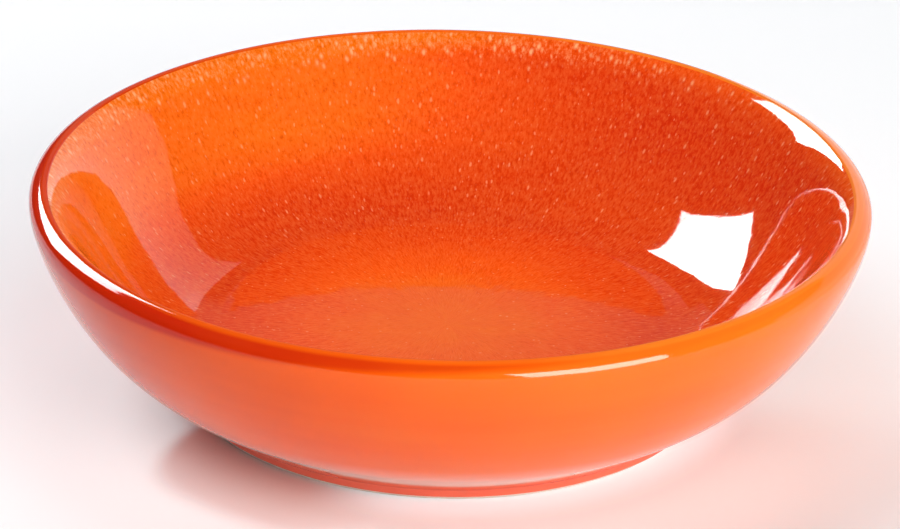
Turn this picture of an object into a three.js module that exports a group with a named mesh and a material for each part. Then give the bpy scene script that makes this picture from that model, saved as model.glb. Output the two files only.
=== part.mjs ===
import * as THREE from 'three';
import { mergeVertices } from 'three/addons/utils/BufferGeometryUtils.js';

// A small round dip dish: one clay body on a turned foot ring, under three coats of fired glaze.
// Millimetres, +Z up. The dish stands on z = 0 and its axis is the Z axis.
// Sizes are those of the finished, glazed dish. The clay lies one glaze thickness inside them.

// Rim and wall
const rimRadius = 50;
const height = 26;
const lipWidth = 1.9;
const lipDrop = 2;
const lipRound = 0.6;
const lipSlope = THREE.MathUtils.degToRad(34);
const lipReach = 3.6;
const rimReach = 2.8;
const bellySlope = THREE.MathUtils.degToRad(14.7);
const bellyFullness = 0.655;
const wall = 4.75;
const wallSlope = THREE.MathUtils.degToRad(30.8);
const wallFullness = 0.566;

// Floor
const baseThickness = 4.75;
const floorDish = 0.45;
const floorFillet = 15.5;

// Foot ring
const footRadius = 32;
const footHeight = 3.3;
const footWidth = 3.8;
const footFillet = 2.2;
const footCorner = 0.5;
const recessHeight = 2.5;
const recessFillet = 1.2;

// Glaze
const glaze = 0.35;
const bareHeight = 0.75;
const glazeBead = 0.45;

// Fineness of the turned surfaces
const turns = 60;
const bellySteps = 6;
const lipSteps = 4;
const crestSteps = 2;
const wallSteps = 8;
const floorSteps = 2;
const filletSteps = 3;
const beadSteps = 2;

const QUARTER_TURN = Math.PI / 2;
const MERGE_DISTANCE = 1e-4;

// A point of a profile: its distance from the axis and its height.
const at = (radius, z) => new THREE.Vector2(radius, z);

// The unit step along an angle in the profile's plane.
const heading = (angle) => at(Math.cos(angle), Math.sin(angle));

// The point that lies a distance along a heading from a start.
const along = (start, direction, distance) => start.clone().addScaledVector(direction, distance);

// The point that lies a share of the way from a start, along a heading, to an upright line.
const towards = (start, direction, radius, share) =>
  along(start, direction, (share * (radius - start.x)) / direction.x);

// The same heading turned a quarter to the left, which points into the clay on every glazed face.
const leftOf = (direction) => at(-direction.y, direction.x);

// Joins runs of points end to end. A point that repeats the one before it is dropped.
function chain(...runs) {
  const points = [];
  for (const point of runs.flat()) {
    const last = points.at(-1);
    if (!last || last.distanceTo(point) > MERGE_DISTANCE) points.push(point);
  }
  return points;
}

// A round corner, tangent to the legs that run from before to corner to after.
// Its radius gives way where a leg is too short for it.
function roundCorner(before, corner, after, radius) {
  const back = before.clone().sub(corner);
  const ahead = after.clone().sub(corner);
  const halfAngle = back.angleTo(ahead) / 2;
  const reach = Math.min(radius / Math.tan(halfAngle), back.length(), ahead.length());
  const middle = back.clone().normalize().add(ahead.clone().normalize()).normalize();
  const centre = along(corner, middle, reach / Math.cos(halfAngle));
  const start = along(corner, back.normalize(), reach).sub(centre);
  const end = along(corner, ahead.normalize(), reach).sub(centre);
  const turn = start.angleTo(end) * Math.sign(start.cross(end));
  return Array.from({ length: filletSteps + 1 }, (_, step) =>
    start.clone().rotateAround(at(0, 0), (turn * step) / filletSteps).add(centre));
}

// Moves a face into the clay by one distance, so that it stays parallel to where it was.
// An end that lies on the axis stays on it.
function inset(points, distance) {
  const normals = points.slice(1).map((point, i) => leftOf(point.clone().sub(points[i]).normalize()));
  return points.map((point, i) => {
    const before = normals[Math.max(i - 1, 0)];
    const after = normals[Math.min(i, normals.length - 1)];
    if (point.x < MERGE_DISTANCE) return at(0, point.y + Math.sign(before.y) * distance);
    const mitre = before.clone().add(after).normalize();
    return along(point, mitre, distance / mitre.dot(before));
  });
}

// Each coat ends above the table in a rounded bead. Below the bead the clay is bare.
const beadTop = bareHeight + glazeBead;

// The outside of the dish, from the bead on the upright foot to the rim's widest line.
// The belly leaves the foot at a low slope and stands upright under the rim.
const footTop = at(footRadius, footHeight);
const footStart = at(footRadius, beadTop);
const bellyHeading = heading(bellySlope);
const bellyAhead = towards(footTop, bellyHeading, rimRadius, bellyFullness);
const footRound = roundCorner(footStart, footTop, bellyAhead, footFillet);
const bellyStart = footRound.at(-1);
const bellyHandle = towards(bellyStart, bellyHeading, rimRadius, bellyFullness);
const widest = at(rimRadius, height - lipDrop);
const rimHandle = at(rimRadius, widest.y - rimReach);
const bellyCurve = new THREE.CubicBezierCurve(bellyStart, bellyHandle, rimHandle, widest);
const belly = bellyCurve.getPoints(bellySteps);

// The lip rises over the wall in a quarter of an ellipse. A small round turns it down inside.
// The outer coat wraps over the crest and meets the liner where that round ends.
const crestRadius = rimRadius - lipWidth;
const lipArc = (radius, drop, from, to, steps) =>
  new THREE.EllipseCurve(crestRadius, height - drop, radius, drop, from, to).getPoints(steps);
const outerLip = lipArc(lipWidth, lipDrop, 0, QUARTER_TURN, lipSteps);
const crest = lipArc(lipRound, lipRound, QUARTER_TURN, QUARTER_TURN + lipSlope, crestSteps);

// The floor is slightly dished. It ends where it would meet the belly's line one wall further in.
const wallLine = along(footTop, leftOf(bellyHeading), wall);
const floorCentre = at(0, recessHeight + baseThickness);
const floorRise = floorCentre.y + floorDish - wallLine.y;
const floorEdge = along(wallLine, bellyHeading, floorRise / bellyHeading.y);
const floorHandle = at(floorEdge.x / 2, floorCentre.y);

// The inside wall sweeps up from a wide fillet, steepens, and leans back into the lip.
const wallHeading = heading(wallSlope);
const wallAhead = towards(floorEdge, wallHeading, crestRadius, wallFullness);
const floorRound = roundCorner(wallAhead, floorEdge, floorHandle, floorFillet);
const wallHandle = towards(floorRound[0], wallHeading, crestRadius, wallFullness);
const lipInside = crest.at(-1);
const lipHandle = along(lipInside, heading(lipSlope), -lipReach);
const wallCurve = new THREE.CubicBezierCurve(lipInside, lipHandle, wallHandle, floorRound[0]);
const innerWall = wallCurve.getPoints(wallSteps);
const floorCurve = new THREE.QuadraticBezierCurve(floorRound.at(-1), floorHandle, floorCentre);
const floor = floorCurve.getPoints(floorSteps);

// The recess inside the foot ring, from the axis out and down to the bead on the ring's inside.
const ringRadius = footRadius - footWidth;
const ringStart = at(ringRadius, beadTop);
const recessCentre = at(0, recessHeight);
const recessRound = roundCorner(recessCentre, at(ringRadius, recessHeight), ringStart, recessFillet);

// The glazed faces, in the order of a walk round the clay, and the clay under each of them.
// A coat's clay side reaches down to the line where its bead ends.
const baseFace = chain([recessCentre], recessRound, [ringStart]);
const outerFace = chain([footStart], footRound, belly, outerLip, crest);
const upperFace = chain(outerFace, innerWall, floorRound, floor);
const meeting = outerFace.length - 1;
const linerFace = upperFace.slice(meeting);
const innerLine = at(ringRadius + glaze, bareHeight);
const outerLine = at(footRadius - glaze, bareHeight);
const baseClay = chain(inset(baseFace, glaze), [innerLine]);
const upperClay = inset(upperFace, glaze);
const outerClay = chain([outerLine], upperClay.slice(0, meeting + 1));
const linerClay = upperClay.slice(meeting);

// The bare standing ring, with rounded corners, runs between the two lines.
const standInside = at(innerLine.x, 0);
const standOutside = at(outerLine.x, 0);
const standMiddle = standInside.clone().lerp(standOutside, 1 / 2);
const standingRing = chain(
  roundCorner(innerLine, standInside, standMiddle, footCorner),
  roundCorner(standMiddle, standOutside, outerLine, footCorner),
);

// A bead curves from the clay at its line out to the coat's face. Side is 1 outwards, -1 inwards.
function bead(line, side) {
  return Array.from({ length: beadSteps + 1 }, (_, step) => {
    const angle = (QUARTER_TURN * step) / beadSteps;
    return at(line.x + side * glaze * Math.sin(angle), beadTop - glazeBead * Math.cos(angle));
  });
}

// Turns a profile, which walks anticlockwise round its solid, into a closed mesh about the Z axis.
function turned(name, profile, finish) {
  const lathe = new THREE.LatheGeometry(profile, turns);
  lathe.deleteAttribute('normal');
  lathe.deleteAttribute('uv');
  const geometry = mergeVertices(lathe.rotateX(QUARTER_TURN), MERGE_DISTANCE);
  geometry.computeVertexNormals();
  const mesh = new THREE.Mesh(geometry, finish);
  mesh.name = name;
  return mesh;
}

const clayFinish = new THREE.MeshStandardMaterial({ color: 0xe8d8c6, roughness: 0.9, metalness: 0 });
const linerFinish = new THREE.MeshStandardMaterial({ color: 0xe8551a, roughness: 0.08, metalness: 0 });
const outerFinish = new THREE.MeshStandardMaterial({ color: 0xf5662d, roughness: 0.08, metalness: 0 });

const clayProfile = chain(baseClay, standingRing, outerClay, linerClay);
const linerProfile = chain(linerClay.toReversed(), linerFace);
const outerProfile = chain(bead(outerLine, 1), outerFace, outerClay.toReversed());
const baseProfile = chain(baseFace, bead(innerLine, -1).toReversed(), baseClay.toReversed());

const dish = new THREE.Group();
dish.name = 'dip_dish';
dish.add(turned('clay_body', clayProfile, clayFinish));
dish.add(turned('liner_glaze', linerProfile, linerFinish));
dish.add(turned('outer_glaze', outerProfile, outerFinish));
dish.add(turned('base_glaze', baseProfile, outerFinish));

export default dish;
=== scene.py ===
# %% [markdown]
# # A small dip dish, turned and glazed
# The real dish is one piece of stoneware clay under three coats of glaze. A clear orange
# liner with pale flecks covers the inside. A smoother, milkier orange covers the outside and
# wraps over the lip. A third coat fills the recess under the foot. The clay is bare only
# where the dish stands.
# The model starts from a packed frame, so every new piece has a place to fit.

# %% Load the frame
import math

import bmesh
import bpy
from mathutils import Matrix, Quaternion, Vector
from mathutils.geometry import interpolate_bezier


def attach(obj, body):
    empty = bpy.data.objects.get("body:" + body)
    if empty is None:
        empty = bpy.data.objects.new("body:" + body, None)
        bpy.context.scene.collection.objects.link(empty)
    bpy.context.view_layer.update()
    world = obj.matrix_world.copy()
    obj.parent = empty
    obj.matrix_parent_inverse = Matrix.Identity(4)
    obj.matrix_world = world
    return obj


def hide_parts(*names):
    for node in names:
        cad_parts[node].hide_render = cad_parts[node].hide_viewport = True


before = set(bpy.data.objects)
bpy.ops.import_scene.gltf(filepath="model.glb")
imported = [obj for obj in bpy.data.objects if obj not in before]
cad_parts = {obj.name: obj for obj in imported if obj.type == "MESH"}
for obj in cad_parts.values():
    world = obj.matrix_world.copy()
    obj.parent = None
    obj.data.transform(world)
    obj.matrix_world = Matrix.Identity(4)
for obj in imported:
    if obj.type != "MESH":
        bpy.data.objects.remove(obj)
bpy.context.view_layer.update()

# %% [markdown]
# ## The camera
# The dish was photographed from about half a metre with a long lens, looking down 25 degrees.
# The camera was held a little crooked, so the picture is rolled by just over one degree.
# A free camera could be turned by three angles. Aiming its back axis at a target is easier
# to read, and the roll is then one turn about that same axis.

# %% Aim a camera at the dish
MM = 0.001
TARGET = Vector((0.11, 0, 15.07)) * MM
CAMERA_AZIMUTH = -90
CAMERA_ELEVATION = 25.0
CAMERA_DISTANCE = 0.5
CAMERA_ROLL = 1.32
LENS_LENGTH = 166.7
SENSOR_WIDTH = 36


def aimed(axis, roll):
    """The turn that points an object's Z axis along a direction, then rolls it about that axis."""
    return axis.to_track_quat("Z", "Y") @ Quaternion((0, 0, 1), roll)


def sky_direction(azimuth, elevation):
    """The unit step towards a place in the studio, from the angles where it is seen."""
    around, up = math.radians(azimuth), math.radians(elevation)
    return Vector((math.cos(up) * math.cos(around), math.cos(up) * math.sin(around), math.sin(up)))


camera_side = sky_direction(CAMERA_AZIMUTH, CAMERA_ELEVATION)
camera_data = bpy.data.cameras.new("camera")
camera_data.lens = LENS_LENGTH
camera_data.sensor_width = SENSOR_WIDTH
camera = bpy.data.objects.new("camera", camera_data)
bpy.context.collection.objects.link(camera)
camera.rotation_mode = "QUATERNION"
camera.rotation_quaternion = aimed(camera_side, math.radians(CAMERA_ROLL))
camera.location = TARGET + camera_side * CAMERA_DISTANCE
bpy.context.scene.camera = camera
print("camera at", [round(c, 3) for c in camera.location])

# %% [markdown]
# ## The sizes
# A potter turns this form with one rib held to a steady outline, so the whole dish is one
# line swept round an axis. The line could be typed in as points, or drawn as a curve.
# Here each stretch is a Bezier curve between two places with a handle at each end, because
# a handle says which way the wall leaves a place. All the sizes are in millimetres and
# degrees, and they are the sizes of the finished dish, glaze included. A reach says how far
# a handle goes, a fullness is the share of the way that it goes to the rim, and each
# stretch has a number of places. The glaze ends half a millimetre above the table, which is
# a quarter of a millimetre lower than on the packed solids.

# %% The main sizes
RIM_RADIUS = 50
HEIGHT = 26
LIP_WIDTH = 1.9
LIP_DROP = 2
FOOT_RADIUS = 32
FOOT_HEIGHT = 3.3
GLAZE = 0.35
BARE_HEIGHT = 0.5
print("dish:", 2 * RIM_RADIUS, "mm across and", HEIGHT, "mm high")

# %% [markdown]
# ## Places, slopes and round corners
# A turned profile is made of straight runs, sweeps and rounds. Each could be worked out by
# hand and typed in as numbers. A few helpers say instead where a place is, which way a wall
# leaves it and how a corner is rounded, so the lines that follow read like a potter's notes.

# %% Helpers for a profile


def spot(radius, height):
    """A place on the profile, in millimetres from the axis and above the table."""
    return Vector((radius, 0, height)) * MM


def slope(degrees):
    """The unit step outwards along a slope, measured up from the table."""
    angle = math.radians(degrees)
    return Vector((math.cos(angle), 0, math.sin(angle)))


def towards(start, direction, radius, share):
    """A place on the way from a start, along a direction, to an upright line at a radius."""
    return start + direction * (share * (radius * MM - start.x) / direction.x)


def arc_pull(angle, radius):
    """How far a handle reaches for a curve that follows a circle through an angle."""
    return 4 / 3 * math.tan(angle / 4) * radius * MM


def round_corner(before, corner, after, radius, count):
    """The round between two straight legs that meet in a corner."""
    back, ahead = (before - corner).normalized(), (after - corner).normalized()
    opening = back.angle(ahead)
    reach = radius * MM / math.tan(opening / 2)
    start, end = corner + back * reach, corner + ahead * reach
    pull = arc_pull(math.pi - opening, radius)
    return interpolate_bezier(start, start - back * pull, end - ahead * pull, end, count)


print("a quarter round of 1 mm pulls its handles", round(arc_pull(math.pi / 2, 1) / MM, 4), "mm")

# %% [markdown]
# ## The belly and the foot
# Outside, the dish stands on an upright foot ring. From there the belly leaves at a low slope,
# swells, and stands upright at the widest line. That is one Bezier curve. On the real dish
# the glaze ran down the belly and pooled over the foot in a soft fold. The fold could be
# sculpted, but it is the same all round, so it belongs in the line: it takes the place of the
# belly's first steps with a straight run in line with the rest, down to a small round.

# %% The outside line, from the table up to the widest line
BELLY_SLOPE = 14.7
BELLY_FULLNESS = 0.655
BELLY_PLACES = 44
RIM_REACH = 2.8
FOOT_FILLET = 2.2
FOOT_PLACES = 14
FOLD_STEPS = 7
FOLD_ROUND = 0.7
FOLD_PLACES = 10

foot_top = spot(FOOT_RADIUS, FOOT_HEIGHT)
foot_start = spot(FOOT_RADIUS, BARE_HEIGHT)
belly_way = slope(BELLY_SLOPE)
belly_ahead = towards(foot_top, belly_way, RIM_RADIUS, BELLY_FULLNESS)
belly_start = round_corner(foot_start, foot_top, belly_ahead, FOOT_FILLET, FOOT_PLACES)[-1]
widest = spot(RIM_RADIUS, HEIGHT - LIP_DROP)
whole_belly = interpolate_bezier(
    belly_start,
    towards(belly_start, belly_way, RIM_RADIUS, BELLY_FULLNESS),
    widest - spot(0, RIM_REACH),
    widest,
    BELLY_PLACES,
)
belly = whole_belly[FOLD_STEPS:]
fold_way = (belly[1] - belly[0]).normalized()
fold_corner = belly[0] - fold_way * ((belly[0].x - FOOT_RADIUS * MM) / fold_way.x)
fold = round_corner(foot_start, fold_corner, belly[0], FOLD_ROUND, FOLD_PLACES)
print("the fold meets the foot", round(fold_corner.z / MM, 2), "mm above the table")

# %% [markdown]
# ## The lip
# The highlight along the real lip is thin and crisp, and it shows how the lip bends: tightly
# at its outer corner, then gently, then more tightly again up to the crest. One Bezier curve
# would bend too evenly. So the lip is walked in small steps of lean, from upright to level.
# Each bend is a pair: up to the lean that it names first, the lip curves with the radius that
# it names second. Inside, one small round leads over the crest and down to the wall's slope.

# %% The outside line, over the lip
LIP_RISE = 0.36
LIP_BENDS = ((50, 1.43), (64, 2.6), (90, 1.94))
LEAN_STEP = 2
LIP_ROUND = 0.6
LIP_SLOPE = 34
CREST_PLACES = 12

crest = spot(RIM_RADIUS - LIP_WIDTH, HEIGHT)
lip_outside = [widest, widest + spot(0, LIP_RISE)]
for lean in range(0, 90, LEAN_STEP):
    bend = next(radius for limit, radius in LIP_BENDS if lean < limit)
    step = slope(90 + lean + LEAN_STEP / 2) * bend * math.radians(LEAN_STEP) * MM
    lip_outside.append(lip_outside[-1] + step)
print("the lip misses its crest by", round((lip_outside[-1] - crest).length / MM, 3), "mm")
lip_outside[-1] = crest
lip_way = slope(LIP_SLOPE)
lip_pull = arc_pull(math.radians(LIP_SLOPE), LIP_ROUND)
lip_end = spot(
    RIM_RADIUS - LIP_WIDTH - LIP_ROUND * math.sin(math.radians(LIP_SLOPE)),
    HEIGHT - LIP_ROUND + LIP_ROUND * math.cos(math.radians(LIP_SLOPE)),
)
lip_inside = interpolate_bezier(
    crest, crest - Vector((lip_pull, 0, 0)), lip_end + lip_way * lip_pull, lip_end, CREST_PLACES
)
outside_line = [foot_start, *fold, *belly, *lip_outside[1:], *lip_inside[1:]]
print("outside line:", len(outside_line), "places")

# %% [markdown]
# ## The inside of the dish
# The inside isn't the outside moved in. From the lip the wall leans back, steepens, and
# sweeps out through a wide round into a floor that is dished by half a millimetre. It could
# be drawn freely, but then the clay might come out too thin somewhere. So the floor ends
# where it would meet the belly's own line one wall further in.

# %% The inside line, from the lip down to the middle of the floor
LIP_REACH = 3.6
WALL = 4.75
WALL_SLOPE = 30.8
WALL_FULLNESS = 0.566
WALL_PLACES = 48
RECESS_HEIGHT = 2.5
BASE_THICKNESS = 4.75
FLOOR_DISH = 0.45
FLOOR_FILLET = 15.5
FLOOR_ROUND_PLACES = 18
FLOOR_PLACES = 14

wall_way = slope(WALL_SLOPE)
wall_line = foot_top + Vector((-belly_way.z, 0, belly_way.x)) * WALL * MM
floor_middle = spot(0, RECESS_HEIGHT + BASE_THICKNESS)
floor_level = floor_middle.z + FLOOR_DISH * MM
floor_edge = wall_line + belly_way * ((floor_level - wall_line.z) / belly_way.z)
floor_handle = Vector((floor_edge.x / 2, 0, floor_middle.z))
inner_rim = RIM_RADIUS - LIP_WIDTH
wall_ahead = towards(floor_edge, wall_way, inner_rim, WALL_FULLNESS)
floor_round = round_corner(wall_ahead, floor_edge, floor_handle, FLOOR_FILLET, FLOOR_ROUND_PLACES)
inner_wall = interpolate_bezier(
    lip_end,
    lip_end - lip_way * LIP_REACH * MM,
    towards(floor_round[0], wall_way, inner_rim, WALL_FULLNESS),
    floor_round[0],
    WALL_PLACES,
)
floor_line = interpolate_bezier(
    floor_round[-1],
    floor_round[-1].lerp(floor_handle, 2 / 3),
    floor_middle.lerp(floor_handle, 2 / 3),
    floor_middle,
    FLOOR_PLACES,
)
inside_line = [*inner_wall, *floor_round[1:], *floor_line[1:]]
print("inside line:", len(inside_line), "places")

# %% [markdown]
# ## Under the foot
# The potter turned a shallow recess into the base, which leaves the foot ring. The recess is
# glazed and the ring is bare. All of this is one more stretch of line. Where the clay is bare
# the line is drawn one coat of glaze too low, and the cell about the clay body says why.

# %% The line under the foot
FOOT_WIDTH = 3.8
FOOT_CORNER = 0.5
CORNER_PLACES = 8
RECESS_FILLET = 1.2
RECESS_PLACES = 12

ring_radius = FOOT_RADIUS - FOOT_WIDTH
recess_middle = spot(0, RECESS_HEIGHT)
recess_corner = spot(ring_radius, RECESS_HEIGHT)
ring_start = spot(ring_radius, BARE_HEIGHT)
recess_round = round_corner(
    recess_middle, recess_corner, ring_start, RECESS_FILLET, RECESS_PLACES
)
recess_line = [recess_middle, spot(ring_radius / 2, RECESS_HEIGHT), *recess_round, ring_start]
stand = -GLAZE
stand_middle = spot((ring_radius + FOOT_RADIUS) / 2, stand)
stand_inside, stand_outside = spot(ring_radius, stand), spot(FOOT_RADIUS, stand)
stand_corner = FOOT_CORNER + GLAZE
stand_line = [
    *round_corner(ring_start, stand_inside, stand_middle, stand_corner, CORNER_PLACES),
    *round_corner(stand_middle, stand_outside, foot_start, stand_corner, CORNER_PLACES),
]
print("recess and foot:", len(recess_line) + len(stand_line), "places")

# %% [markdown]
# ## Turning the pieces
# Sweeping a line round an axis is what a lathe does. In Blender the Spin operator does the
# same to the edges of a mesh, and the Screw modifier would too. Spin is used here because it
# can close the turn and weld its ends in one go. A place that lies on the axis is swept onto
# itself, so doubles are merged afterwards and the pole becomes one vertex.

# %% Draw a line and spin it
TURNS = 192
WELD_DISTANCE = 1e-6
SHARP_ANGLE = 35
print("one step of the turn is", 360 / TURNS, "degrees")


def spun(line):
    """A mesh swept round the axis from a line of places, with its faces turned one way."""
    mesh = bmesh.new()
    places = [mesh.verts.new(place) for place in line]
    edges = [mesh.edges.new(pair) for pair in zip(places, places[1:])]
    bmesh.ops.spin(
        mesh, geom=places + edges, cent=(0, 0, 0), axis=(0, 0, 1), angle=2 * math.pi, steps=TURNS,
        use_merge=True, use_duplicate=False,
    )
    bmesh.ops.remove_doubles(mesh, verts=mesh.verts, dist=WELD_DISTANCE)
    bmesh.ops.recalc_face_normals(mesh, faces=mesh.faces)
    return mesh


def finished(mesh, name, node):
    """Makes the mesh a smooth piece that stands for a node of the frame."""
    data = bpy.data.meshes.new(name)
    mesh.to_mesh(data)
    mesh.free()
    data.shade_smooth()
    data.set_sharp_from_angle(angle=math.radians(SHARP_ANGLE))
    piece = bpy.data.objects.new(name, data)
    bpy.context.collection.objects.link(piece)
    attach(piece, "root")
    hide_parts(node)
    print(name, "has", len(data.polygons), "faces")
    return piece


# %% [markdown]
# ## The clay body
# Under the glaze the clay has the same form, one coat thinner. It could be drawn a second
# time with smaller numbers. Moving every vertex back along its own normal, which the editor
# calls Shrink/Fatten, does it in one step and keeps the gap even. The line under the foot was
# drawn one coat too low, so the bare ring comes to rest exactly on the table.

# %% Shrink the whole form by one coat
body = spun([*recess_line[:-1], *stand_line, *outside_line[1:], *inside_line[1:]])
body.normal_update()
for vertex, normal in [(vertex, vertex.normal.copy()) for vertex in body.verts]:
    vertex.co -= normal * GLAZE * MM
clay_form = finished(body, "clay_form", "clay_body")

# %% [markdown]
# ## The glaze coats
# A glaze is a skin of glass about a third of a millimetre thick. Each coat is the swept face
# of its own stretch of line. Solidify gives it its thickness on the clay's side, and its free
# edge above the bare ring is rounded with a bevel, because molten glaze pulls itself into a
# bead where it was wiped away. A coat could also be drawn as a closed line and spun. Solidify
# is shorter, but it works against the normals. So each coat first looks at the face that lies
# furthest out on its open side, and turns all faces round if that one points inwards.

# %% Thicken a face into a coat, and round its lower edge
BEAD_SHARE = 0.8
BEAD_STEPS = 5
print("a bead rounds off", round(BEAD_SHARE * GLAZE, 2), "mm of the edge")


def coated(line, name, node, open_side, edge_radius=None):
    """A coat of glaze over the face that a line sweeps out, with a bead along one edge."""
    mesh = spun(line)
    mesh.normal_update()
    probe = max(mesh.faces, key=lambda face: face.calc_center_median().dot(open_side))
    if probe.normal.dot(open_side) < 0:
        bmesh.ops.reverse_faces(mesh, faces=mesh.faces)
    bmesh.ops.solidify(mesh, geom=mesh.faces, thickness=GLAZE * MM)
    if edge_radius:
        round_off(mesh, edge_radius)
    lowest = min(vertex.co.z for vertex in mesh.verts)
    furthest = max(vertex.co.x for vertex in mesh.verts)
    print(name, "lowest", round(lowest / MM, 3), "widest", round(furthest / MM, 3))
    return finished(mesh, name, node)


def round_off(mesh, radius):
    """Bevels the edges of a coat that lie at a radius, on the line where the bare ring starts."""
    def on_line(vertex):
        across = abs(Vector(vertex.co.xy).length - radius * MM)
        return max(across, abs(vertex.co.z - BARE_HEIGHT * MM)) < WELD_DISTANCE

    edges = [edge for edge in mesh.edges if all(on_line(vertex) for vertex in edge.verts)]
    bmesh.ops.bevel(
        mesh, geom=edges, offset=BEAD_SHARE * GLAZE * MM, offset_type="OFFSET",
        segments=BEAD_STEPS, profile=0.5, affect="EDGES", clamp_overlap=True, material=-1,
    )
    print("bead edges:", len(edges))


# %% [markdown]
# The liner reaches from the lip to the middle of the floor. The outside coat wraps over the
# lip, meets the liner there and ends in a bead above the bare ring. The coat in the recess
# ends in a bead too. All three could be one skin, but the bare ring and the change of glaze
# at the lip part them on the real dish.

# %% Make the three coats
liner = coated(inside_line, "liner_coat", "liner_glaze", Vector((0, 0, 1)))
outer = coated(
    outside_line, "outer_coat", "outer_glaze", Vector((1, 0, 0)), FOOT_RADIUS
)
base = coated(
    recess_line, "base_coat", "base_glaze", Vector((0, 0, -1)), ring_radius
)

# %% [markdown]
# ## Building a material from nodes
# Every finish below is a small network of nodes. It could be wired by hand, one node at a
# time, but then the wiring hides the idea. So a small class makes a material with its main
# shader, and it adds a node and plugs all its inputs in one call.

# %% A material and its wiring


class Wiring:
    """A new material with its main shader, and the way to add nodes to it."""

    def __init__(self, name):
        self.material = bpy.data.materials.new(name)
        self.material.use_nodes = True
        self.tree = self.material.node_tree
        self.shader = self.tree.nodes["Principled BSDF"]

    def plug(self, socket, value):
        """Links a socket to another node's output, or sets it to a plain value."""
        if isinstance(value, bpy.types.NodeSocket):
            self.tree.links.new(value, socket)
        else:
            socket.default_value = value

    def add(self, kind, output=0, inputs=None, **settings):
        """A new node with its settings and inputs, given back as one of its outputs."""
        node = self.tree.nodes.new(kind)
        for setting, value in settings.items():
            setattr(node, setting, value)
        for socket, value in (inputs or {}).items():
            self.plug(node.inputs[socket], value)
        return node.outputs[output]

    def surface(self, sockets):
        """Sets or links the main shader's own sockets, by their names."""
        for name, value in sockets.items():
            self.plug(self.shader.inputs[name], value)


print("the wiring can", [name for name in vars(Wiring) if not name.startswith("_")])

# %% [markdown]
# The name of a node and the numbers of its sockets say little about what a step does. They
# could be written out each time. Here a second class, built on the first, gives a plain name
# to each step that the finishes share.

# %% Plain names for the steps


class Finish(Wiring):
    """A material whose steps have plain names."""

    def work_out(self, operation, *values):
        """One step of arithmetic."""
        return self.add("ShaderNodeMath", 0, dict(enumerate(values)), operation=operation)

    def times(self, first, second):
        """Two values multiplied."""
        return self.work_out("MULTIPLY", first, second)

    def total(self, start, *values):
        """A start with several values added to it."""
        for value in values:
            start = self.work_out("ADD", start, value)
        return start

    def vector(self, operation, *values, output=0, scale=None):
        """One step of arithmetic on places or directions."""
        inputs = dict(enumerate(values))
        if scale is not None:
            inputs["Scale"] = scale
        return self.add("ShaderNodeVectorMath", output, inputs, operation=operation)

    def between(self, value, span, levels=(0.0, 1.0), smooth=True):
        """Stretches one span of a value over two levels, and holds it at the ends."""
        inputs = dict(enumerate((value, *span, *levels)))
        kind = "SMOOTHSTEP" if smooth else "LINEAR"
        return self.add("ShaderNodeMapRange", 0, inputs, interpolation_type=kind)

    def noise(self, place, scale, detail=2.0, roughness=0.5):
        """A soft random pattern between 0 and 1."""
        inputs = {"Vector": place, "Scale": scale, "Detail": detail, "Roughness": roughness}
        return self.add("ShaderNodeTexNoise", 0, inputs)

    def centred(self, noise, width):
        """A noise turned into a small push up or down."""
        return self.times(self.work_out("SUBTRACT", noise, 0.5), width)

    def wobble(self, place, scale):
        """A random push in all three directions."""
        inputs = {"Vector": place, "Scale": scale, "Detail": 1.0}
        return self.vector("SUBTRACT", self.add("ShaderNodeTexNoise", 1, inputs), (0.5,) * 3)

    def mix(self, share, first, second):
        """A mix of two colours."""
        return self.add("ShaderNodeMix", 2, {0: share, 6: first, 7: second}, data_type="RGBA")

    def ramp(self, value, stops):
        """Turns a value from 0 to 1 into a colour between the colours of its stops."""
        colour = self.add("ShaderNodeValToRGB", 0, {0: value})
        elements = colour.node.color_ramp.elements
        while len(elements) < len(stops):
            elements.new(0.5)
        for element, (position, tone) in zip(elements, stops):
            element.position, element.color = position, tone
        return colour

    def relief(self, height):
        """A shallow relief from a height in millimetres."""
        inputs = {"Height": height, "Strength": 1.0, "Distance": 1 * MM}
        self.surface({"Normal": self.add("ShaderNodeBump", 0, inputs)})


print("a finish can", [name for name in vars(Finish) if not name.startswith("_")])

# %% [markdown]
# ## Places along and round the dish
# The colours of this dish change along its profile and drift from its left to its right, so
# a finish needs to know where it is. An image with a UV map could hold that. The object's own
# coordinates are enough here, since every piece sits at the origin: they give the distance
# from the axis, the height, and, added up, a way along the profile.
# A noise looked up on a very thin cylinder hardly changes round the dish but changes quickly
# up the wall, which gives brush bands. The same trick on a cylinder as wide as the dish, with
# the height squeezed, stretches flecks down the wall, as the glaze ran before it set.

# %% Coordinates for the glazes


def turned_places(finish):
    """The object's own place, and how far it lies right, out from the axis, up and along."""
    place = finish.add("ShaderNodeTexCoord", 3)
    split = finish.add("ShaderNodeSeparateXYZ", 0, {0: place}).node
    radius = finish.vector("LENGTH", finish.vector("MULTIPLY", place, (1, 1, 0)), output=1)
    right, height = split.outputs["X"], split.outputs["Z"]
    return place, right, radius, height, finish.total(radius, height)


def wrapped(finish, place, along, radius, stretch):
    """A place on a cylinder of one radius, with the way along the profile as its height."""
    around = finish.vector("NORMALIZE", finish.vector("MULTIPLY", place, (1, 1, 0)))
    upright = finish.add("ShaderNodeCombineXYZ", 0, {2: finish.times(along, stretch)})
    return finish.vector("ADD", finish.vector("MULTIPLY", around, (radius,) * 3), upright)


def millimetres(*sizes):
    """A span of sizes, in metres as Blender counts them."""
    return tuple(size * MM for size in sizes)


print("the foot spans", millimetres(-FOOT_RADIUS, FOOT_RADIUS), "m")

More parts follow.
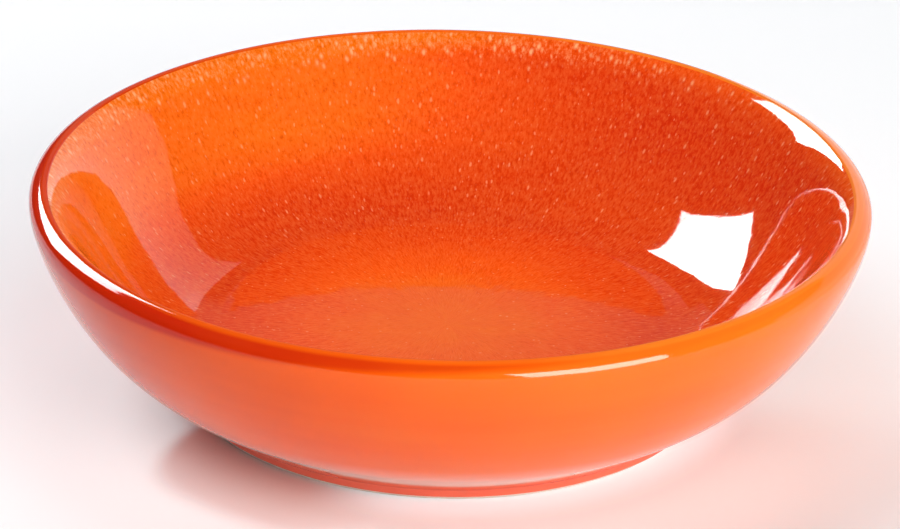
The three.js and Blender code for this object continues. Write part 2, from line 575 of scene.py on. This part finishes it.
# %% [markdown]
# ## The liner glaze
# The orange liner was laid on with a brush while the dish turned. It is painted deepest and
# reddest in the curve between wall and floor and more golden on the open floor, partly the
# glaze's own tone and partly painted shade in the curve, and it is more golden towards the lip.
# The tone also drifts across the wall, golden on the left and red on the right: that is painted
# light, because the front lamp lights the left wall more. An image could hold all this, but a
# pattern made from the object's own coordinates stays sharp from any distance. So one number
# says how golden each place is, and a colour ramp turns that number into a glaze. A span below
# is a pair of places, and the gold beside it says how much is added at the one and at the other.

# %% How golden the liner is
DEEP_LINER = (0.76, 0.034, 0.003, 1)
PLAIN_LINER = (0.93, 0.088, 0.003, 1)
GOLDEN_LINER = (0.99, 0.185, 0.004, 1)
LINER_GOLD = 0.14
# painted light: the wall is more golden on the left, which the front lamp lights more, and redder
# on the right
WALL_LIGHT_DRIFT, WALL_LIGHT_GOLD = millimetres(24, -20), (-0.06, 0.72)
WALL_SPAN = millimetres(33, 42)
# The floor is painted more golden inwards, so the curve between wall and floor stays deepest:
# partly the glaze's own tone, partly painted shade in the curve.
FLOOR_SPAN, FLOOR_GOLD = millimetres(27, 14), (0.0, 0.34)
MIDDLE_SPAN, MIDDLE_GOLD = millimetres(22, 2), (0.0, 0.24)
THIN_SPAN, THIN_GOLD = millimetres(45.2, 47.6), (0.0, 0.40)
BAND_CYLINDER, BAND_WIDTH = 9 * MM, 0.22
CLOUD_CYLINDER, CLOUD_STRETCH, CLOUD_WIDTH = 30 * MM, 2.5, 0.30

liner_finish = Finish("liner glaze")
place, right, radius, height, along = turned_places(liner_finish)
# painted light drifting across the wall, golden on the left and red on the right
painted_wall_light = liner_finish.between(right, WALL_LIGHT_DRIFT, WALL_LIGHT_GOLD)
bands = liner_finish.noise(
    wrapped(liner_finish, place, along, BAND_CYLINDER, 1.0), scale=420, detail=4, roughness=0.6
)
clouds = liner_finish.noise(
    wrapped(liner_finish, place, along, CLOUD_CYLINDER, CLOUD_STRETCH), scale=60, detail=3
)
golden = liner_finish.total(
    LINER_GOLD,
    liner_finish.times(painted_wall_light, liner_finish.between(radius, WALL_SPAN)),
    liner_finish.between(radius, FLOOR_SPAN, FLOOR_GOLD),
    liner_finish.between(radius, MIDDLE_SPAN, MIDDLE_GOLD),
    liner_finish.between(radius, THIN_SPAN, THIN_GOLD),
    liner_finish.centred(bands, BAND_WIDTH),
    liner_finish.centred(clouds, CLOUD_WIDTH),
)
liner_tone = liner_finish.ramp(
    golden, ((0.0, DEEP_LINER), (0.5, PLAIN_LINER), (1.0, GOLDEN_LINER))
)
print("liner tone nodes:", len(liner_finish.tree.nodes))

# %% [markdown]
# ## Flecks in the liner
# Pale flecks of undissolved glaze float under the surface. Each is a cell of a Voronoi
# pattern, which gives the distance to the nearest of many scattered points. Every cell also
# carries a random colour, and here it makes some flecks big and many small. Real flecks could
# be modelled as thousands of tiny pieces, but they lie inside the glass and need no form.
# Several patterns are laid over each other: a fine speckle everywhere, larger flecks on the
# wall and on the floor, and flecks with a crust between them in the last few millimetres
# under the lip, where the glaze ran thin. A few specks are bright, and a few are dark.

# %% Kinds of flecks
WALL_FLECKS = {"scale": 1500, "smallest": 0.05, "largest": 0.36, "rarity": 2.0}
FLOOR_FLECKS = {"scale": 1250, "smallest": 0.03, "largest": 0.28, "rarity": 2.0}
SPECKLE = {"scale": 2600, "smallest": 0.12, "largest": 0.46, "rarity": 1.2, "softness": 0.2}
LIP_FLECKS = {"scale": 1500, "smallest": 0.16, "largest": 0.56, "rarity": 1.0}
BRIGHT_SPECKS = {"scale": 240, "smallest": 0.003, "largest": 0.042, "softness": 0.6}
DARK_SPECKS = {"scale": 95, "smallest": 0.001, "largest": 0.018}


def flecked(finish, where, scale, smallest, largest, rarity=3.0, softness=0.4):
    """Soft spots about the scattered points of a Voronoi pattern, each of its own size."""
    spots = finish.add("ShaderNodeTexVoronoi", 0, {"Vector": where, "Scale": scale})
    chance = finish.add("ShaderNodeSeparateColor", 0, {0: spots.node.outputs["Color"]})
    rare = finish.work_out("POWER", chance, rarity)
    size = finish.between(rare, (0.0, 1.0), (smallest, largest), smooth=False)
    return finish.between(finish.work_out("DIVIDE", spots, size), (1.0, softness))


fleck_width = 2 * WALL_FLECKS["largest"] / WALL_FLECKS["scale"]
print("the widest wall flecks are", round(fleck_width / MM, 2), "mm across")

# %% [markdown]
# Perfectly round spots look printed. So the places are ruffled a little before the flecks are
# looked up, and on the wall they are squeezed, which draws each fleck out downhill. Each
# layer of flecks is then weighed with a strength of its own, and the layers are added up.

# %% Scatter flecks, crust and specks
RUFFLE_SCALE, RUFFLE = 1900, 0.22 * MM
FLECK_CYLINDER, FLECK_SQUEEZE = 40 * MM, 0.34
FLECKED_WALL = millimetres(27, 32)
LIP_SPAN = millimetres(21.8, 25.0)
CRUSTED_SIDE, CRUSTED_SHARE = millimetres(40, 14), (0.2, 1.0)
CRUST_START, CRUST_END = (0.80, 0.44), 0.82
DARK_SHIFT = (0.3, 0.1, 0.2)

ruffle = liner_finish.vector("SCALE", liner_finish.wobble(place, RUFFLE_SCALE), scale=RUFFLE)
ruffled = liner_finish.vector("ADD", place, ruffle)
down_wall = wrapped(liner_finish, ruffled, along, FLECK_CYLINDER, FLECK_SQUEEZE)
wall_share = liner_finish.between(radius, FLECKED_WALL)
floor_share = liner_finish.work_out("SUBTRACT", 1.0, wall_share)
near_lip = liner_finish.times(
    liner_finish.between(height, LIP_SPAN),
    liner_finish.between(right, CRUSTED_SIDE, CRUSTED_SHARE),
)
grain = liner_finish.noise(down_wall, scale=2600, detail=3, roughness=0.7)
crust_start = liner_finish.between(near_lip, (0.0, 1.0), CRUST_START, smooth=False)
fleck_layers = (
    (0.46, liner_finish.times(flecked(liner_finish, down_wall, **WALL_FLECKS), wall_share)),
    (0.34, liner_finish.times(flecked(liner_finish, ruffled, **FLOOR_FLECKS), floor_share)),
    (0.15, flecked(liner_finish, down_wall, **SPECKLE)),
    (0.50, liner_finish.times(flecked(liner_finish, down_wall, **LIP_FLECKS), near_lip)),
    (0.62, liner_finish.between(grain, (crust_start, CRUST_END))),
)
fleck_share = liner_finish.total(
    0.0, *(liner_finish.times(layer, strength) for strength, layer in fleck_layers)
)
bright_specks = flecked(liner_finish, down_wall, **BRIGHT_SPECKS)
elsewhere = liner_finish.vector("ADD", ruffled, DARK_SHIFT)
dark_specks = flecked(liner_finish, elsewhere, **DARK_SPECKS)
print("liner nodes with flecks:", len(liner_finish.tree.nodes))

# %% [markdown]
# ## Finishing the liner
# The glass between the flecks isn't plain either. A fine grain lightens it in places and pits
# it darker in others. Over that come the flecks, the bright specks and the dark ones, each
# mixed in by its own share. The surface itself is smooth glass with a slow waviness. It could
# be sculpted, but it is only two hundredths of a millimetre deep, so a bump in the material
# is enough to make the edges of the reflections swim a little.

# %% Mix the liner's layers
LIT_GRAIN, LIT_SHARE, LIT_TONE = (0.42, 0.70), (0.0, 0.36), (1.0, 0.27, 0.06, 1)
PIT_GRAIN, PIT_SHARE, PIT_TONE = (0.46, 0.28), (0.0, 0.50), (0.62, 0.030, 0.003, 1)
FLECK_TONE = (1.0, 0.46, 0.20, 1)
BRIGHT_TONE = (1.0, 0.86, 0.66, 1)
DARK_TONE, DARK_STRENGTH = (0.10, 0.02, 0.01, 1), 0.8
LINER_WAVES, FLECK_RELIEF = 0.020, 0.003

lit_share = liner_finish.between(grain, LIT_GRAIN, LIT_SHARE, smooth=False)
pit_share = liner_finish.between(grain, PIT_GRAIN, PIT_SHARE, smooth=False)
layers = (
    (lit_share, LIT_TONE),
    (pit_share, PIT_TONE),
    (fleck_share, FLECK_TONE),
    (bright_specks, BRIGHT_TONE),
    (liner_finish.times(dark_specks, DARK_STRENGTH), DARK_TONE),
)
coloured = liner_tone
for share, tone in layers:
    coloured = liner_finish.mix(share, coloured, tone)
liner_finish.surface({"Base Color": coloured, "Roughness": 0.04, "IOR": 1.5})
waves = liner_finish.noise(place, scale=330, detail=1, roughness=0.4)
liner_relief = liner_finish.total(
    0.0, liner_finish.times(waves, LINER_WAVES), liner_finish.times(fleck_share, FLECK_RELIEF)
)
liner_finish.relief(liner_relief)
liner.data.materials.append(liner_finish.material)
print("liner nodes:", len(liner_finish.tree.nodes))

# %% [markdown]
# ## The outside glaze
# The coat outside is smoother and milkier. It has no flecks to speak of, only soft rings from
# the brush. Its tone is painted paler towards the right, where the front lamp falls, and
# darker on the far left, which lies in shade: painted light and painted shade. Just under the
# crest of the lip it is painted deep red, and on the crest itself pale again. This could be
# painted by hand, but as in the liner one number says how pale each place is, because it can
# be added up from simple parts.

# %% How pale the outside is
DEEP_OUTSIDE = (0.64, 0.022, 0.002, 1)
PLAIN_OUTSIDE = (0.93, 0.115, 0.003, 1)
PALE_OUTSIDE = (0.98, 0.215, 0.015, 1)
# painted light and shade: paler towards the right, where the front lamp falls, and darker on the
# far left, which lies in shade
OUTSIDE_PALENESS, PAINTED_LIGHT_RIGHT = 0.60, 5.5
SHADED_LEFT, SHADED_LEFT_PALENESS = millimetres(-22, -42), (0.0, -0.20)
RED_SPAN, RED_TILT, RED_PALENESS = millimetres(24.8, 25.7), -0.04, -0.42
CREST_SPAN, CREST_PALENESS = millimetres(25.7, 25.98), 0.40
RING_CYLINDER, RING_WIDTH = 6 * MM, 0.22
DRIFT_WIDTH = 0.30

outer_finish = Finish("outer glaze")
place, right, _, height, along = turned_places(outer_finish)
rings = outer_finish.noise(
    wrapped(outer_finish, place, along, RING_CYLINDER, 1.0), scale=170, detail=3, roughness=0.55
)
drift = outer_finish.noise(place, scale=45)
near_rim = outer_finish.total(height, outer_finish.times(right, RED_TILT))
pale = outer_finish.total(
    OUTSIDE_PALENESS,
    # painted light on the right, painted shade on the far left
    outer_finish.times(right, PAINTED_LIGHT_RIGHT),
    outer_finish.between(right, SHADED_LEFT, SHADED_LEFT_PALENESS),
    outer_finish.times(outer_finish.between(near_rim, RED_SPAN), RED_PALENESS),
    outer_finish.times(outer_finish.between(height, CREST_SPAN), CREST_PALENESS),
    outer_finish.centred(rings, RING_WIDTH),
    outer_finish.centred(drift, DRIFT_WIDTH),
)
outer_tone = outer_finish.ramp(
    pale, ((0.0, DEEP_OUTSIDE), (0.5, PLAIN_OUTSIDE), (1.0, PALE_OUTSIDE))
)
print("outside tone nodes:", len(outer_finish.tree.nodes))

# %% [markdown]
# Low on the belly, above the foot, the glaze is painted pale pink: a painted reflection of
# the bright table, which the belly mirrors there. The foot itself is redder. Both could be
# further parts of the same number, but their colours lie beside the ramp. So each is mixed in
# over a span of height. The painted reflection fades towards the left, which lies in shade.

# %% Lay the painted table reflection and the foot's tone over it
# painted reflection of the bright table, low on the belly, weaker on the shaded left
TABLE_SHEEN_SPAN, TABLE_SHEEN_TONE = millimetres(9.5, 5.5), (0.98, 0.42, 0.300, 1)
TABLE_SHEEN_SIDES, TABLE_SHEEN_SHARE = millimetres(-28, 0), (0.40, 1.0)
FOOT_SPAN, FOOT_TONE = millimetres(4.2, 2.4), (0.96, 0.19, 0.110, 1)
OUTSIDE_WAVES = 0.018

# painted reflection of the table on the lower belly
painted_table_sheen = outer_finish.times(
    outer_finish.between(height, TABLE_SHEEN_SPAN),
    outer_finish.between(right, TABLE_SHEEN_SIDES, TABLE_SHEEN_SHARE),
)
outer_tone = outer_finish.mix(painted_table_sheen, outer_tone, TABLE_SHEEN_TONE)
outer_tone = outer_finish.mix(outer_finish.between(height, FOOT_SPAN), outer_tone, FOOT_TONE)
outer_finish.surface({"Base Color": outer_tone, "Roughness": 0.06, "IOR": 1.38})
waves = outer_finish.noise(place, scale=220, detail=1, roughness=0.4)
outer_finish.relief(outer_finish.times(waves, OUTSIDE_WAVES))
outer.data.materials.append(outer_finish.material)
base.data.materials.append(outer_finish.material)
print("outside nodes:", len(outer_finish.tree.nodes))

# %% [markdown]
# ## The bare clay
# The standing ring was wiped clean before firing, so the stoneware shows there. It is a pale
# cream with a fine grain and a few dark iron specks, and it has no shine. A plain colour would
# do from a step away, but one noise serves both the tone and the tooth of the surface, so the
# ring looks fired and not painted from close by too.

# %% The pale clay of the standing ring
CLAY_SHADE, CLAY_LIGHT = (0.80, 0.72, 0.63, 1), (0.93, 0.87, 0.80, 1)
IRON_SPECKS = {"scale": 700, "smallest": 0.02, "largest": 0.22}
IRON_TONE, IRON_STRENGTH = (0.35, 0.24, 0.16, 1), 0.5
CLAY_TOOTH = 0.08

clay_finish = Finish("bare clay")
place = clay_finish.add("ShaderNodeTexCoord", 3)
grain = clay_finish.noise(place, scale=900, detail=4, roughness=0.6)
specks = clay_finish.times(flecked(clay_finish, place, **IRON_SPECKS), IRON_STRENGTH)
clay_tone = clay_finish.mix(grain, CLAY_SHADE, CLAY_LIGHT)
clay_tone = clay_finish.mix(specks, clay_tone, IRON_TONE)
clay_finish.surface({"Base Color": clay_tone, "Roughness": 0.85})
clay_finish.relief(clay_finish.times(grain, CLAY_TOOTH))
clay_form.data.materials.append(clay_finish.material)
print("clay nodes:", len(clay_finish.tree.nodes))

# %% [markdown]
# ## The table
# The dish stands on a wide pale table that carries its shadow. A curved backdrop could do
# this as well, but the picture shows no edge of the table, so one flat square is enough. It
# is matt.

# %% A wide table
TABLE_REACH = 6
TABLE_COLOUR = (0.90, 0.855, 0.875, 1)

table = bmesh.new()
bmesh.ops.create_grid(table, x_segments=2, y_segments=2, size=TABLE_REACH)
table_data = bpy.data.meshes.new("table")
table.to_mesh(table_data)
table.free()
floor = bpy.data.objects.new("table", table_data)
bpy.context.collection.objects.link(floor)
table_finish = Finish("pale table")
table_finish.surface({"Base Color": TABLE_COLOUR, "Roughness": 0.6, "Specular IOR Level": 0.0})
floor.data.materials.append(table_finish.material)
print("table:", 2 * TABLE_REACH, "m across")

# %% [markdown]
# The real table looks brightest close to the dish. More lamps could do that, but they would
# wash out the glaze. So the table's material has a faint glow that only the camera sees, and
# a steady one that only the glaze mirrors. Neither throws any light on the dish. The
# camera's glow is strongest near the dish. Towards the front left it starts further out, so
# the shadow there stays deep. Towards the front right it is weak, apart from a narrow bright
# edge close to the foot.

# %% The glow on the table
GLOW_COLOUR = (0.58, 0.95, 1.0, 1)
SHADOW_WAY, BRIGHT_WAY = sky_direction(235, 0), sky_direction(-60, 0)
SHADOW_WIDTH, SHADOW_LENGTH = (0.86, 0.99), millimetres(0, -11)
GLOW_START = millimetres(30.5, 35.5)
GLOW_SPAN, GLOW_LEVELS = millimetres(55, 38), (0.16, 0.32)
BRIGHT_WIDTH = (0.5, 0.8)
BRIGHT_SPAN, BRIGHT_LEVELS = millimetres(60, 42), (0.06, 0.12)
EDGE_SPAN, EDGE_LEVELS = millimetres(38, 32), (0.0, 0.30)
MIRRORED_GLOW = 0.20

place = table_finish.add("ShaderNodeTexCoord", 3)
reach = table_finish.vector("LENGTH", place, output=1)
way = table_finish.vector("NORMALIZE", place)
towards_shadow = table_finish.vector("DOT_PRODUCT", way, SHADOW_WAY, output=1)
towards_bright = table_finish.vector("DOT_PRODUCT", way, BRIGHT_WAY, output=1)
shadow_length = table_finish.between(towards_shadow, SHADOW_WIDTH, SHADOW_LENGTH)
shaded_glow = table_finish.times(
    table_finish.between(table_finish.total(reach, shadow_length), GLOW_START),
    table_finish.between(reach, GLOW_SPAN, GLOW_LEVELS),
)
bright_glow = table_finish.total(
    table_finish.between(reach, BRIGHT_SPAN, BRIGHT_LEVELS),
    table_finish.between(reach, EDGE_SPAN, EDGE_LEVELS),
)
bright_share = table_finish.between(towards_bright, BRIGHT_WIDTH)
shaded_share = table_finish.work_out("SUBTRACT", 1.0, bright_share)
glow = table_finish.total(
    table_finish.times(bright_glow, bright_share), table_finish.times(shaded_glow, shaded_share)
)
rays = table_finish.add("ShaderNodeLightPath", 0).node.outputs
mirrored = table_finish.total(rays["Is Glossy Ray"], rays["Is Transmission Ray"])
glow_strength = table_finish.total(
    table_finish.times(rays["Is Camera Ray"], glow),
    table_finish.times(mirrored, MIRRORED_GLOW),
)
table_finish.surface({"Emission Color": GLOW_COLOUR, "Emission Strength": glow_strength})
print("table nodes:", len(table_finish.tree.nodes))

# %% [markdown]
# ## The lamps
# A glossy glaze is judged by what it mirrors, so the lamps are placed where their reflections
# fall on the real dish: a square softbox behind on the left makes the white patch, the
# crescent and the line along the left lip, one in front on the right makes the streak on the
# near lip, and a long pale card on the right shows as the veil over the left wall. Two dim
# cards behind the dish make the sheen on the floor and the step in its edge.
# One lamp could both light and shine, but then a bright reflection would mean too much light.
# So a lamp is a pair: one part that only lights, and one in front of it that only shines.

# %% A lamp in two parts
SHINE_NEARNESS = 0.98
WHITE, WARM = (1, 1, 1), (1, 0.96, 0.88)
print("the shining part stands at", SHINE_NEARNESS, "of a lamp's distance")


def lamp(name, place, turn, size, light, shine, tint=WHITE, fade=None):
    """A rectangular lamp as a pair: one that only lights, and one in front that only shines."""
    for part, brightness, nearness in (("light", light, 1.0), ("shine", shine, SHINE_NEARNESS)):
        if not brightness:
            continue
        data = bpy.data.lights.new(name + "_" + part, "AREA")
        data.shape = "RECTANGLE"
        data.size, data.size_y = size[0] * nearness, size[1] * nearness
        data.energy = brightness * math.pi * data.size * data.size_y
        data.color = tint
        if fade:
            faded(data, *fade)
        piece = bpy.data.objects.new(data.name, data)
        bpy.context.collection.objects.link(piece)
        piece.location = place * nearness
        piece.rotation_mode = "QUATERNION"
        piece.rotation_quaternion = turn
        piece.visible_camera = False
        piece.visible_diffuse, piece.visible_glossy = part == "light", part == "shine"
        print(data.name, "gives", round(data.energy, 2), "W")


def faded(data, span, levels):
    """Changes a lamp's brightness between two heights above the table."""
    data.use_nodes = True
    nodes, links = data.node_tree.nodes, data.node_tree.links
    geometry, split = nodes.new("ShaderNodeNewGeometry"), nodes.new("ShaderNodeSeparateXYZ")
    level = nodes.new("ShaderNodeMapRange")
    links.new(geometry.outputs["Position"], split.inputs[0])
    links.new(split.outputs["Z"], level.inputs["Value"])
    for name, value in zip(("From Min", "From Max", "To Min", "To Max"), (*span, *levels)):
        level.inputs[name].default_value = value
    links.new(level.outputs["Result"], nodes["Emission"].inputs["Strength"])


# %% [markdown]
# A lamp could be placed by three coordinates, but what counts is where it is seen from the
# dish. A softbox on a stand is placed by that direction and its distance. A card stands
# upright on the table, so the directions of its two ends and its height say it all. It fades
# between two heights, as a card does that is lit from above or below.

# %% Softboxes and cards


def softbox(name, seen, distance, size, light, shine=0, aim=(0, 0, 0), roll=0.0, tint=WHITE):
    """A square lamp on a stand, placed by the angles where it is seen from the dish."""
    place = sky_direction(*seen) * distance
    lamp(name, place, aimed(place - Vector(aim), roll), size, light, shine, tint)


def card(name, facing, distance, ends, top, shine, fade):
    """An upright card on the table that only shines, between the angles where its ends are seen."""
    left, right = (distance * math.tan(math.radians(end - facing)) for end in ends)
    across = sky_direction(facing + 90, 0)
    middle = sky_direction(facing, 0) * distance + across * (left + right) / 2
    place = middle + Vector((0, 0, top / 2))
    size = (abs(left - right), top)
    lamp(name, place, aimed(sky_direction(facing, 0), 0), size, 0, shine, fade=fade)


print("straight behind the dish is", [round(c, 3) for c in sky_direction(90, 0)])

# %% [markdown]
# The key is aimed a little past the dish and rolled, because the shape of the white patch
# depends on it. Four plain fills light the dish from all round and don't show in the glaze.
# They could be one big dome, but each fill has its own brightness, and so each side of the
# dish gets its own tone. Angles are in degrees, apart from the roll, which is in radians,
# and lengths are in metres. A fade is a span of heights and the levels at its two ends.

# %% Place the lamps
FILL_DISTANCE, FILL_SIZE = 1.0, (0.5, 0.5)
FILLS = (
    ("back_fill", (90, 50), 2.6),
    ("left_fill", (180, 50), 2.4),
    ("camera_fill", (-90, 55), 2.4),
    ("right_fill", (-45, 45), 1.4),
)

softbox(
    "key", seen=(129.9, 31.9), distance=0.641, size=(0.315, 0.301), light=4.8, shine=20,
    aim=(-0.2085, 0.0046, -0.2204), roll=0.17,
)
softbox(
    "front", seen=(-53, 21), distance=0.5, size=(0.333, 0.30), light=5.5, shine=19, tint=WARM
)
for name, seen, brightness in FILLS:
    softbox(name, seen, FILL_DISTANCE, FILL_SIZE, brightness)
card(
    "pale_card", facing=75, distance=0.6, ends=(80, 2), top=0.46, shine=1,
    fade=((0, 0.46), (1.3, 0.6)),
)
card(
    "back_card", facing=90, distance=0.8, ends=(106, 74), top=0.43, shine=0.17,
    fade=((0.385, 0.43), (1.2, 0.3)),
)
card(
    "corner_card", facing=94, distance=0.7, ends=(99, 89), top=0.51, shine=0.25,
    fade=((0.35, 0.39), (0.0, 1.0)),
)

# %% [markdown]
# ## The room
# The room beyond the lamps lights the dish softly from all sides, but in the glaze it is nearly
# dark. So the orange keeps its depth between the reflections. A backdrop could do this too, but
# the world's own light needs only one number for each kind of ray.

# %% A soft dim room
ROOM_LIGHT, ROOM_SHINE = 0.14, 0.03

world = bpy.data.worlds.new("studio")
world.use_nodes = True
nodes, links = world.node_tree.nodes, world.node_tree.links
ray, level = nodes.new("ShaderNodeLightPath"), nodes.new("ShaderNodeMapRange")
level.inputs["To Min"].default_value = ROOM_LIGHT
level.inputs["To Max"].default_value = ROOM_SHINE
links.new(ray.outputs["Is Glossy Ray"], level.inputs["Value"])
links.new(level.outputs["Result"], nodes["Background"].inputs["Strength"])
nodes["Background"].inputs["Color"].default_value = (1, 1, 1, 1)
bpy.context.scene.world = world
bpy.context.scene.view_settings.view_transform = "Standard"

# The dressed dish has to stay inside the box of the solids that it stands for.
